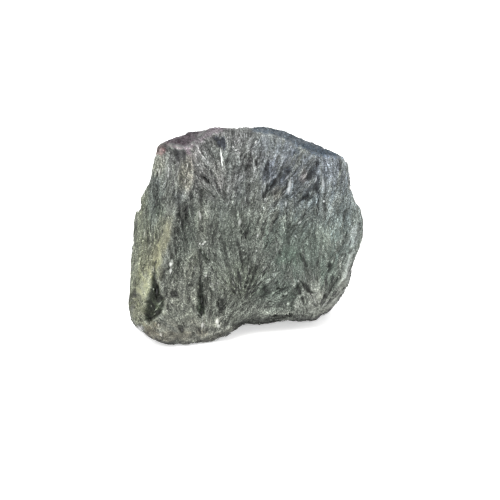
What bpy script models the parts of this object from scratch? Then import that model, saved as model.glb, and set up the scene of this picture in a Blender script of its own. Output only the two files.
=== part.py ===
"""A rough block of seraphinite, a feathery clinochlore, standing on a flat broken base.

The stone grew and broke off as one piece, so it is one solid. A cube is cut by each fracture plane in
turn. Some of those planes make up the outline that the block shows to an eye in front of it and a little
above it; the others are the broad faces that this eye looks at, and those of the back. The sharp block is
then divided into even cells, its edges are worn round, and hollows and a waviness drawn out along the
grain are worn into it. Metres and degrees, +Z up, +X along the block's width, -Y towards that eye.
"""

from math import cos, radians, sin

import bmesh
import bpy
from mathutils import Vector, noise

MM = 0.001

# Edge of the cube that the block is cut out of.
UNCUT_CUBE = 200 * MM

# The eye that the outline is stated for looks at the target point from this elevation and distance.
EYE_ELEVATION = 18
EYE_DISTANCE = 356 * MM
TARGET = Vector((0, 0, 24.2)) * MM

# Corners of the outline, clockwise from the top left, in mm across and up from the target point, on the
# plane through it that faces the eye.
OUTLINE = [
    (-28.4, 32.3),
    (-19.0, 35.6),
    (-12.0, 37.1),
    (7.6, 37.3),
    (12.0, 36.2),
    (27.6, 28.8),
    (29.4, 26.0),
    (33.6, 11.2),
    (33.6, 4.0),
    (30.9, -5.6),
    (28.6, -11.0),
    (25.6, -16.6),
    (21.6, -19.6),
    (16.5, -21.6),
    (-12.5, -28.2),
    (-17.0, -28.9),
    (-24.1, -28.7),
    (-27.6, -27.6),
    (-31.4, -25.6),
    (-36.2, -22.0),
    (-36.9, -16.8),
    (-36.3, -9.9),
    (-35.6, 3.1),
    (-33.6, 13.2),
]

# The other fracture faces: the azimuth of the way each looks (-90 is towards the eye, 0 is +X), its
# elevation, and its distance from this core point, in mm.
CORE = Vector((-1, 3, 27)) * MM
FACES = {
    "front": (-74, 11, 10.8),
    "left_front": (-142, 22.7, 29.6),
    "right_front": (-36, 3, 27.5),
    "top_left": (-138, 64.5, 34.8),
    "top_right": (-6, 70.8, 33.4),
    "back": (98, 7, 15.5),
    "back_left": (150, -3, 33.5),
    "back_right": (36, 5, 33.5),
    "back_top": (84, 42, 34.0),
    "back_foot": (80, -32, 27.0),
    "underside": (-90, -90, 35.0),
}

# Size of the cells. To wear the edges round, each point moves this share of the way to the middle of its
# neighbours, this many times.
CELL = 2.0 * MM
ROUNDING_SHARE = 0.5
ROUNDING_TIMES = 5

# Hollows where a splinter has broken out: the middle of each, its radius, and the push inwards at its
# middle, all in mm.
HOLLOWS = [
    ((-1, -10, 0), 13, (0.3, 1.6, 4.6)),
    ((11, -3, 0), 10, (0, 1.4, 1.8)),
    ((31, 4, 42), 10, (-2.0, 0, 0)),
    ((-29, -1, 46), 9, (2.4, 0.7, 0)),
    ((-1.5, 4, 61), 8, (0, 0, -0.7)),
    ((-25, -14, 9), 6, (0, 1.8, 0)),
    ((-17, -11, 32), 8, (0, 1.6, 0)),
    ((8, -6, 47), 10, (0, 1.2, 0)),
    ((20, 19, 30), 14, (-0.4, -2.4, 0)),
    ((-14, 17, 44), 11, (0, -1.8, -0.3)),
]

# The waviness of the broken faces, as (size across the grain, size along it, height), in mm.
WAVES = [(8.5, 19, 0.8), (4.0, 9, 0.45)]

# Points this close to the ground are put on it, and edges of the cut this short are closed up, so that
# the cut through the base leaves no slivers.
BASE_SNAP = 0.6 * MM
SHORTEST_EDGE = 0.4 * MM

STONE_COLOUR = (0.185, 0.205, 0.178, 1)
STONE_ROUGHNESS = 0.55
SHARP_ANGLE = 35


def clear_scene():
    """Removes what the startup file holds."""
    for obj in list(bpy.data.objects):
        bpy.data.objects.remove(obj)


def pointing(azimuth, elevation):
    """The unit vector with this azimuth, counted from +X towards +Y, and this elevation."""
    flat = cos(radians(elevation))
    return Vector((flat * cos(radians(azimuth)), flat * sin(radians(azimuth)), sin(radians(elevation))))


def outline_planes():
    """The plane through the eye and each side of the outline: a point on it and its outward normal."""
    eye = TARGET + pointing(-90, EYE_ELEVATION) * EYE_DISTANCE
    upright = pointing(90, 90 - EYE_ELEVATION)
    corners = [TARGET + (Vector((1, 0, 0)) * across + upright * up) * MM for across, up in OUTLINE]
    next_corners = corners[1:] + corners[:1]
    planes = []
    for start, end in zip(corners, next_corners):
        normal = (end - eye).cross(start - eye).normalized()
        planes.append((start, normal))
    return planes


def face_planes():
    """The other fracture faces: a point on each and its outward normal."""
    planes = []
    for azimuth, elevation, away in FACES.values():
        normal = pointing(azimuth, elevation)
        planes.append((CORE + normal * away * MM, normal))
    return planes


def cut_off(bm, point, normal):
    """Cuts off what lies beyond the plane and closes the cut."""
    everything = bm.verts[:] + bm.edges[:] + bm.faces[:]
    bmesh.ops.bisect_plane(bm, geom=everything, plane_co=point, plane_no=normal, clear_outer=True)
    rim = [edge for edge in bm.edges if edge.is_boundary]
    if rim:
        bmesh.ops.edgeloop_fill(bm, edges=rim)


def sharp_block():
    """The block with flat faces and sharp edges."""
    bm = bmesh.new()
    bmesh.ops.create_cube(bm, size=UNCUT_CUBE)
    for point, normal in outline_planes() + face_planes():
        cut_off(bm, point, normal)
    return bm


def in_even_cells(bm):
    """The same block in even cells, which the Remesh modifier makes."""
    sharp = bpy.data.meshes.new("sharp_block")
    bm.to_mesh(sharp)
    bm.free()
    block = bpy.data.objects.new("sharp_block", sharp)
    bpy.context.scene.collection.objects.link(block)
    remesh = block.modifiers.new("Even cells", "REMESH")
    remesh.mode = "VOXEL"
    remesh.voxel_size = CELL
    even = bmesh.new()
    even.from_object(block, bpy.context.evaluated_depsgraph_get())
    bpy.data.objects.remove(block)
    bpy.data.meshes.remove(sharp)
    return even


def hollow_push(point):
    """How far and which way the broken-out hollows push this point inwards."""
    push = Vector((0, 0, 0))
    for middle, radius, deepest in HOLLOWS:
        near = 1 - ((point - Vector(middle) * MM).length / (radius * MM)) ** 2
        push += Vector(deepest) * MM * max(0.0, near) ** 2
    return push


def waviness(point):
    """Height of the broken surface here, in waves drawn out along the upright grain."""
    height = 0.0
    for across, along, high in WAVES:
        height += high * MM * noise.noise(Vector((point.x / across, point.y / across, point.z / along)) / MM)
    return height


def wear(bm):
    """Wears the edges round, then the hollows and the waviness into the surface along its normals."""
    every_way = {"use_axis_x": True, "use_axis_y": True, "use_axis_z": True}
    for _ in range(ROUNDING_TIMES):
        bmesh.ops.smooth_vert(bm, verts=bm.verts, factor=ROUNDING_SHARE, **every_way)
    bm.normal_update()
    for vert in bm.verts:
        vert.co = vert.co + vert.normal * waviness(vert.co) + hollow_push(vert.co)


def cut_base(bm):
    """Cuts the block off flat on the ground plane."""
    for vert in bm.verts:
        if abs(vert.co.z) < BASE_SNAP:
            vert.co.z = 0
    cut_off(bm, Vector((0, 0, 0)), Vector((0, 0, -1)))
    bmesh.ops.dissolve_degenerate(bm, edges=bm.edges, dist=SHORTEST_EDGE)


def centre(bm):
    """Moves the block so that the middle of its bounding box is above the origin."""
    for axis in (0, 1):
        ends = [vert.co[axis] for vert in bm.verts]
        middle = (min(ends) + max(ends)) / 2
        for vert in bm.verts:
            vert.co[axis] -= middle


def stone_mesh():
    """The whole block, worn, cut off flat and standing on the ground plane."""
    bm = in_even_cells(sharp_block())
    wear(bm)
    cut_base(bm)
    centre(bm)
    mesh = bpy.data.meshes.new("seraphinite_stone")
    bm.to_mesh(mesh)
    bm.free()
    mesh.shade_smooth()
    mesh.set_sharp_from_angle(angle=radians(SHARP_ANGLE))
    return mesh


def stone_material():
    """Grey-green clinochlore with a dull, slightly pearly break."""
    material = bpy.data.materials.new("seraphinite")
    material.use_nodes = True
    shader = material.node_tree.nodes["Principled BSDF"]
    shader.inputs["Base Color"].default_value = STONE_COLOUR
    shader.inputs["Roughness"].default_value = STONE_ROUGHNESS
    shader.inputs["Metallic"].default_value = 0
    return material


def main():
    clear_scene()
    mesh = stone_mesh()
    mesh.materials.append(stone_material())
    stone = bpy.data.objects.new("seraphinite_stone", mesh)
    bpy.context.scene.collection.objects.link(stone)


main()
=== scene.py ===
"""The looks of a rough block of seraphinite: fans of grey-green fibres, broken in steps, with clefts."""

from math import cos, radians, sin

import bmesh
import bpy
import numpy as np
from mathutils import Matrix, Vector
from mathutils.bvhtree import BVHTree
from mathutils.kdtree import KDTree


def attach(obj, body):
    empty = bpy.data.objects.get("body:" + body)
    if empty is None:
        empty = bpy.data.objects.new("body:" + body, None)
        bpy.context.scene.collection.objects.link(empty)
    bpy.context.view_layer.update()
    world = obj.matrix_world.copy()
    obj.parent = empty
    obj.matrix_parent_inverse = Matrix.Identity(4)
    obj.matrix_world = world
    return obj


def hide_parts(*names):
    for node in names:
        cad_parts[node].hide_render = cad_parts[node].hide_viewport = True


MM = 0.001
NODE = "seraphinite_stone"
SEED = 7

# The eye: where the camera stands, and where front features are stated from, in mm across and up from the
# target on the plane through it that faces the eye.
EYE_ELEVATION = 18
EYE_DISTANCE = 356.2 * MM
TARGET = np.array((1.2, -2, 24.6)) * MM
LENS = 85
SENSOR = 36

# The skin of the stone: size of its cells, and the step and number of steps by which it is combed.
CELL = 0.44 * MM
COMB_STEP = 0.7 * MM
COMB_REACH = 6

# Fans of fibres on the front: root across and up, lean of the middle fibre from upright (clockwise), half
# the opening angle, and reach, in mm and degrees.
FRONT_FANS = {
    "main": (-2.7, -15, -4, 42, 24),
    "centre": (-2, -4, 2, 18, 36),
    "left_of_centre": (-13, -7, -4, 18, 30),
    "right_of_centre": (10, -9, 8, 18, 22),
    "right": (20.5, -18.6, 18, 34, 30),
    "far_right": (22, -26, 16, 14, 50),
    "left_facet": (-31, -26, 7, 16, 62),
    "lower_left": (-13.6, -28, -4, 28, 30),
    "left_of_middle": (-20, -20, 4, 22, 30),
    "upper_left": (-7, 12.6, -30, 34, 24),
    "upper_middle": (-8, 8, 6, 24, 30),
    "upper_right": (3.6, 9, 26, 22, 27),
    "right_of_middle": (11.5, 3.6, 34, 14, 12),
    "right_top": (23, 8, 8, 22, 24),
    "small_cross": (-7.5, -11, -38, 20, 13),
    "foot_right": (15, -21, 28, 34, 13),
}
HIDDEN_FANS = 26

# Bundles of fibres, leaf-shaped and overlapping like shingles: how many of each kind, their length, width
# and rise in mm, and how much they turn off the grain in degrees.
BUNDLES = {
    "plumes": (520, (8, 18), (3, 6.5), (0.5, 1.1), 14),
    "feathers": (12000, (2.2, 6), (0.5, 1.4), (0.08, 0.22), 11),
}

# Crests on the front: the points of the crest line, then height against distance from it, in mm. Distance is
# positive to the right of somebody who walks along the line.
CRESTS = {
    "left_ridge": (
        [(-17.5, 22.3), (-19.3, 15.7), (-22, 11), (-23.6, 7), (-24.1, 3), (-25.3, -2.4), (-27.6, -5.8),
         (-28.7, -8.4), (-30.2, -12.7), (-31.7, -16.3), (-33, -20)],
        [(-10, 0), (-4.5, -1.3), (-2, -1.1), (0, 1), (5, 0)],
    ),
    "top_left_lip": (
        [(-28, 28.4), (-25, 31.1), (-19.6, 30.2), (-17.5, 31.4), (-12.1, 34.4), (-7.5, 35.3)],
        [(-4, 0), (-1.5, -0.3), (-0.3, 0.3), (0.4, 0.3), (1.2, -0.2), (4, 0)],
    ),
    "slate_edge": (
        [(1, 35.6), (7.5, 33.7), (14.2, 31), (20.5, 28.2), (28, 27.4)],
        [(-3, 0), (-1.2, -0.4), (-0.2, 0.5), (0.5, 0.3), (4, 0)],
    ),
    "right_rim": (
        [(31, -1), (28.4, -8.8), (22.9, -15.7), (18.8, -19)],
        [(-3, 0), (-1.2, 0.5), (0, 0.2), (1.2, -0.4), (3, 0)],
    ),
}

# Features with a clear outline on the front: how soft its edge is and how deep it cuts in (less than 0 where
# it stands out), in mm, how calm its surface is, 0 to 1, the colour that the stone is multiplied by, and the
# points of the outline, in mm across and up.
OUTLINED = {
    "purple_facet": (0.5, 0, 0.4, (0.24, 0.15, 0.21), [
        (-31, 31.5), (-27, 36), (-19, 39), (-10, 40), (-14, 36.4), (-16.3, 33.6), (-18.4, 31.4),
        (-21.1, 31.4), (-24.7, 32), (-27.2, 32.3)]),
    "pink_ridge": (0.7, 0, 0.4, (1, 0.82, 0.96), [
        (-20.3, 31.1), (-17.8, 31.7), (-15.7, 32.9), (-13.3, 35.3), (-12, 40), (-5, 40), (-6.6, 36.6),
        (-11.2, 34.9), (-13.9, 33.3), (-16.3, 32), (-17.7, 30.6), (-18, 28.4), (-19.2, 29)]),
    "red_corner": (0.5, 0, 0.3, (0.96, 0.65, 0.67), [
        (-29, 31.5), (-26.6, 31.8), (-25.2, 31.1), (-25.5, 29.6), (-26.4, 28.7), (-29, 28.5)]),
    # Painted highlight along the lip of the top left facet.
    "lip": (0.2, -0.2, 0.9, (1.66, 1.33, 1.48), [
        (-25, 32), (-23.8, 31.7), (-22.8, 31.4), (-20.5, 31), (-20.5, 30.5), (-22.9, 30.9), (-24.1, 31.2),
        (-25, 31.5)]),
    # Painted shade in the notch under the lip.
    "lip_notch": (0.3, 0.5, 0.2, (0.32, 0.32, 0.33), [
        (-23.8, 30.6), (-19.8, 30.2), (-19.3, 29.3), (-19.5, 27.8), (-19.8, 26.6), (-20.5, 27.6),
        (-21.3, 27.6), (-21.6, 26.9), (-22.5, 26.9), (-23, 28.4), (-23.4, 29.3)]),
    "top_pocket": (0.3, 0.8, 0, (0.31, 0.37, 0.52), [
        (-11, 34.2), (-9.9, 34.3), (-9.3, 33.6), (-8.2, 34.2), (-7.3, 33.6), (-7.2, 30.9), (-7.7, 29.9),
        (-8.5, 31.1), (-9.4, 30.9), (-10.1, 32.6), (-11.3, 33.3)]),
    "slate_facet": (0.5, 0, 0.6, (0.33, 0.43, 0.57), [
        (1, 35.6), (6, 35), (10.6, 33.3), (13.9, 31.5), (16.6, 30.1), (19.6, 28.6), (21.7, 28.4),
        (28.4, 27.7), (31, 29), (24, 34), (12, 38.5), (4, 38.5), (0, 37)]),
    "frosted": (0.9, 0, 0.4, (0.98, 1, 1.03), [
        (2.4, 34.8), (6, 34.7), (10.6, 33), (13.9, 31), (18.6, 28.7), (17.2, 26.6), (13.9, 27.8),
        (9.7, 28.4), (3.6, 30.2)]),
    "ridge_line": (0.45, -0.4, 0.5, (1.56, 1.53, 1.55), [
        (-17.5, 26.3), (-16.7, 21.7), (-18.1, 19.3), (-19.3, 15.7), (-20.4, 16), (-19.3, 19.3),
        (-18.1, 21.7)]),
    "cream_patch": (0.5, -0.1, 1, (1.34, 1.33, 1.38), [
        (-32.3, -8.8), (-31.1, -7.7), (-29.9, -8.1), (-30.2, -10.3), (-31.1, -12.4), (-32, -13.9),
        (-33.2, -13.3), (-33.3, -11.8), (-32.7, -10.3)]),
    # The wedge: its dark colour is partly the stone's own and partly painted shade in the hollow.
    "wedge": (0.4, 1.4, 0, (0.2, 0.23, 0.18), [
        (-28.8, -3.9), (-28.4, -6.3), (-28.2, -8.8), (-27.9, -10.3), (-27.2, -12.1), (-27.3, -13.9),
        (-26.2, -14.8), (-25.8, -17.2), (-27.2, -19.6), (-29.1, -20.8), (-30.2, -22.2), (-31.8, -21.4),
        (-31.7, -18.7), (-31.2, -16.3), (-30.5, -13.9), (-29.7, -11.2), (-29.3, -8.1)]),
    "wedge_rim": (0.25, -0.2, 0.5, (1.24, 1.22, 1.14), [
        (-28.1, -4.8), (-27.6, -7.5), (-27.2, -10.3), (-26.7, -12.4), (-27, -12.4), (-27.7, -10),
        (-28.1, -7.5)]),
    "foot": (0.5, 1.4, 0, (0.44, 0.54, 0.44), [
        (-15, -8.4), (-14.4, -10.3), (-13.9, -13.4), (-13.1, -16.4), (-13.6, -19), (-15, -20.8),
        (-15.9, -18.1), (-15.6, -14.2), (-15.2, -11.6)]),
    "slash_one": (0.4, 0.8, 0, (0.3, 0.34, 0.36), [
        (3.8, 16.3), (4.8, 19), (6, 20.8), (7.8, 21.6), (8, 20.2), (6.2, 18), (5, 16.3), (4.1, 15.5)]),
    "slash_two": (0.35, 0.6, 0, (0.24, 0.26, 0.28), [
        (20.5, 27), (21, 26.3), (20.1, 23.5), (18.9, 21.4), (17.5, 21.1), (17.2, 22.9), (18.1, 24.6),
        (19.6, 26.3)]),
    "slash_three": (0.4, 0.6, 0, (0.35, 0.38, 0.4), [
        (15.4, 15.1), (16, 16.6), (16.9, 18.1), (19, 19.9), (19.9, 20.7), (20.8, 19), (21, 16.9),
        (19.9, 17.5), (18.7, 18), (18, 16.6), (19, 15.7), (17.2, 14.9)]),
    "white_shard": (0.3, -0.6, 0.3, (1.78, 1.8, 1.8), [
        (12.1, 21.7), (12.9, 22), (13, 19.3), (12.4, 17), (11, 16.9), (10.9, 18.1), (11.6, 19.9)]),
    "right_shard": (0.3, -0.6, 0.5, (1.42, 1.44, 1.52), [
        (21.2, 22), (22, 22.3), (22.9, 19.6), (22.6, 17), (21.7, 17.5), (21.4, 19.9)]),
    "rim_band": (0.7, -0.1, 0.9, (1.4, 1.34, 1.37), [
        (22.6, -17.5), (27.2, -10.6), (30.5, -0.6), (31.8, -0.6), (29, -11.2), (24.1, -18.1)]),
    # Painted highlight on the right rim.
    "painted_rim_highlight": (0.9, 0, 0.9, (1.6, 1.57, 1.66), [
        (30.4, 7), (32.6, 7.4), (32.2, 1.8), (30, 1.6)]),
    "pale_fan": (0.9, 0, 0.5, (1.11, 1.09, 1.1), [
        (17.2, -12.7), (21.7, -11.5), (24.1, -13.9), (21.7, -18.7), (16.9, -18.7)]),
    "red_streak": (0.35, 0, 0.3, (0.85, 0.68, 0.7), [
        (-26.7, 31.3), (-25.9, 31.4), (-25.6, 29.4), (-26.4, 29)]),
    # Painted shade in the notch under the lip, at its left and at its right.
    "notch_left": (0.3, 0, 0, (0.34, 0.36, 0.39), [
        (-22.6, 30.3), (-21.3, 30.3), (-21.5, 28.7), (-21.5, 27), (-22.5, 27), (-22.6, 28.7)]),
    "notch_right": (0.3, 0, 0, (0.36, 0.38, 0.41), [
        (-20.4, 30), (-19.4, 29.7), (-19.4, 28.1), (-19.8, 26.9), (-20.2, 28.1), (-20.4, 29)]),
    "dark_mottle": (0.7, 0.6, 0, (0.51, 0.56, 0.53), [
        (3.6, -9.8), (5.2, -10.4), (6.8, -11.6), (5.7, -14.2), (4.2, -15.4), (3, -13.4), (3.3, -11.6)]),
    "chevron": (0.6, 0.8, 0, (0.45, 0.5, 0.47), [
        (11.9, -15.1), (12.5, -13), (13.6, -11.2), (14.9, -9.8), (16, -10.9), (16.3, -12.4), (14.9, -13.9),
        (13.9, -15.2), (13.4, -16.9), (13.4, -18.4), (12.4, -18.6), (11.9, -16.9)]),
    "curl": (0.4, 0.9, 0, (0.52, 0.58, 0.52), [
        (-15.1, 0.3), (-13.9, 0), (-12.7, -1.8), (-12.2, -3.3), (-13, -4.2), (-13.6, -3.3), (-14.2, -1.8),
        (-14.8, -0.6)]),
    "wedge_rim_low": (0.25, -0.2, 0.3, (1.4, 1.38, 1.34), [
        (-25.8, -14.5), (-25.2, -16), (-25.2, -18.7), (-26, -20.2), (-25.6, -18.4), (-25.6, -16.3)]),
    "wedge_lit": (0.4, -0.4, 0, (1.7, 1.7, 1.7), [
        (-28.1, -16.3), (-26.6, -15.4), (-26, -16.9), (-27.2, -17.8), (-28.7, -18.1)]),
    "cream_face": (0.9, -0.1, 0.8, (1.07, 1.03, 0.95), [
        (-25, 8.4), (-23.8, 8.1), (-23.5, 5.4), (-24.3, 2.7), (-25.6, -0.3), (-26.9, -2.1), (-28.7, -3),
        (-29.9, -1.8), (-29, 0.6), (-27.5, 3.3), (-26.3, 6)]),
    "slash_one_high": (0.5, 0.4, 0, (0.72, 0.76, 0.82), [
        (8.6, 21.1), (9.4, 23.5), (10.3, 24.9), (12.1, 25.5), (12.5, 24.6), (11.3, 22.3), (10, 20.5),
        (9.1, 19.9)]),
    "slash_one_tip": (0.3, 0.3, 0, (0.62, 0.64, 0.68), [
        (10.6, 23.8), (11.5, 25.3), (12.4, 25.3), (12.2, 24.1), (11.2, 23.2)]),
    "slash_line": (0.25, 0.3, 0, (0.48, 0.52, 0.56), [
        (20.2, 22.5), (21, 22.5), (21.1, 18.7), (21, 15.1), (20.6, 13.3), (20.3, 15.1), (20.3, 18.7),
        (20, 20.2)]),
    "slate_spot": (0.4, 0.3, 0, (0.62, 0.67, 0.74), [
        (12.5, 28.4), (13.3, 29.9), (14.6, 31.1), (15.2, 30.2), (14.2, 28.7)]),
    "purple_side": (0.3, 0, 0.2, (0.72, 0.58, 0.63), [
        (-26.4, 31.7), (-25, 32.9), (-23.8, 32.3), (-25, 31.4), (-25.2, 29.7), (-25.8, 29.9), (-26, 31.1)]),
    "foot_tooth": (0.25, -0.4, 0.6, (1.95, 1.96, 1.92), [
        (-10.3, -20.2), (-9.7, -21.1), (-9, -22.9), (-9.5, -23.5), (-10.7, -23.4), (-10.9, -22.3),
        (-10.7, -21.1)]),
}

# Colour beside a crest line, on the side where distance is positive: colour that the stone is multiplied by,
# how far it reaches in mm, and how far it fades past the ends of the line.
CREST_SIDES = {
    "cream_band": (
        [(-23.4, 8), (-24.3, 3), (-25.8, -2.4), (-27.8, -5.8), (-28.9, -8.4), (-30.4, -12.7)],
        (1.32, 1.27, 1.08), 6.2, 2,
    ),
}

# Clefts and dark hollows between bundles on the front, darkened with painted shade: middle across and up,
# length, width, lean and depth, in mm and degrees.
CLEFTS = {
    "spread_line": (-12.6, 24.6, 5.4, 0.7, -42, 0.6),
    "foot_triangle": (-8.3, -16.3, 6, 2.4, -12, 1),
    "upper_arc": (-13.2, 21.3, 4.4, 0.8, -48, 0.7),
    "left_shade": (-28.7, 17.5, 6.5, 1.6, -6, 0.8),
    "left_shade_low": (-27.8, 13, 5, 1.2, -3, 0.7),
    "left_shade_side": (-25.3, 16.6, 4, 1.2, 20, 0.5),
    "ridge_shade": (-20.8, 12.1, 6, 1.2, 28, 0.5),
    "ridge_shade_side": (-19.3, 10.9, 4.5, 1.3, -10, 0.6),
    "ridge_shade_low": (-20.2, 8.4, 4.5, 1.1, -20, 0.5),
    "ridge_foot": (-21.7, 4.2, 4.5, 1.8, 10, 0.4),
    "ridge_hook": (-20.9, 13.2, 4.6, 0.9, 40, 0.5),
    "inner_upright": (-13.3, 13.6, 4, 0.9, 5, 0.7),
    "curl_line": (-11.4, -0.6, 3, 0.6, -45, 0.5),
    "top_middle": (-0.9, 27.8, 3, 3, 20, 0.7),
    "top_middle_low": (-0.6, 25, 3.2, 1.2, 65, 0.8),
    "top_middle_right": (2.1, 26.3, 2, 1, 0, 0.7),
    "top_middle_high": (-2.4, 31, 2.4, 1.4, 0, 0.6),
    "slash_one_top": (5.1, 26.3, 4, 1.2, 15, 0.4),
    "far_right_nick": (26.6, 14.5, 2.4, 1.2, 30, 0.8),
    "under_needle": (7.5, 9.7, 5, 1.2, 20, 0.5),
    "middle_hook": (-1.5, 4.2, 3, 1.6, -35, 1),
    "middle_band": (-2.4, 0, 7, 2.2, -8, 0.6),
    "middle_streak": (0.3, -5.4, 6, 0.8, 8, 0.7),
    "middle_slant": (1.5, -6.6, 6.5, 0.9, 18, 0.7),
    "middle_low": (-0.9, -10, 5, 1, 15, 0.7),
    "middle_low_slant": (1.2, -12.4, 5, 0.9, 42, 0.7),
    "chevron_right": (17.2, -11.5, 4.6, 1.2, -42, 1),
    "chevron_middle": (16, -15.1, 4, 1.2, -20, 0.8),
    "crack": (16, -2.7, 4.5, 0.5, -25, 0.6),
    "crack_end": (17, -5.4, 2.2, 0.5, 10, 0.6),
    "right_hollow": (24.1, -5.1, 3, 1.4, 10, 0.6),
    "right_hollow_high": (29.3, 3.9, 3, 1, 0, 0.6),
    "right_hollow_low": (24.7, -10.6, 4, 1, 15, 0.5),
    "right_corner": (22.9, -14.2, 2, 1.2, 30, 0.8),
    "left_corner": (-35, -13.6, 2.4, 1.6, 0, 0.6),
    "lobe_high": (-25.6, -12.7, 4, 2.4, 0, 0.5),
    "lobe_low": (-20.5, -23.5, 3, 2, 0, 0.5),
    "undercut": (10, -20.5, 12, 1.6, 88, 1.2),
    "fan_line": (-4.9, -12.7, 4.6, 0.6, -48, 0.7),
    "fan_line_upright": (-3, -10.6, 6.6, 0.5, 2, 0.7),
    "fan_line_right": (-0.2, -13.2, 5, 0.6, 56, 0.7),
    "fan_line_top": (-0.4, -3.6, 3.6, 0.5, 6, 0.6),
    "mottle_side": (8.6, -12, 3.6, 1, -10, 0.6),
    "fan_edge": (17.8, -12.1, 3.6, 0.7, -42, 0.8),
    "fan_needle_line": (-14.2, 29, 5, 0.5, -36, 0.5),
    "fan_needle_line_right": (-11.2, 27.8, 6, 0.5, -26, 0.5),
    "lobe_spot_high": (-22.6, -13.3, 2, 1.4, 20, 0.4),
    "lobe_spot": (-23.8, -17.6, 3, 1.8, 10, 0.4),
    "lobe_spot_side": (-21.8, -17.8, 2.4, 1.2, 0, 0.3),
    "foot_shade": (-12.8, -9.4, 4.5, 1.4, 10, 0.4),
}

# Dents in the outline that the eye sees, and swellings where depth is less than 0: middle across and up,
# half width, half length, lean and depth, in mm and degrees.
EDGE_DENTS = {
    "left_top": (-31.5, 24, 4, 7.5, 8, 1.05),
    "left_corner": (-30, 30, 2.5, 3, 0, 0.6),
    "top_left": (-21.5, 36, 3.5, 6, 72, -0.3),
    "right_low": (32.6, -4.2, 3, 6, 14, 1.1),
    "top_right": (19, 33, 3, 9, 114, 0.7),
    "right_corner": (31, 28.6, 2.6, 3, -40, 0.9),
    "bottom": (9, -22.2, 2.2, 11, 88, 0.8),
    "left_step": (-33.9, 13, 2.4, 2, 10, 0.9),
    "left_step_foot": (-35.4, 9.6, 2.2, 1.6, 10, -0.4),
    "bottom_left": (-6.6, -24.4, 2, 3, 70, -0.7),
    "bottom_middle": (-0.3, -22.8, 2, 3.4, 85, 0.7),
    "bottom_corner": (22, -21, 2, 3, 75, 0.9),
    "left_foot": (-34.3, -24.8, 2.5, 2.6, 40, 1.9),
    "left_bulge": (-36.2, -20, 1.6, 2.6, 0, 0.5),
    "right_waist": (31.6, 16.6, 2, 4, -15, 0.5),
    "bottom_right_middle": (13.4, -21.8, 1.6, 4, 88, -1.1),
}
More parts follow.
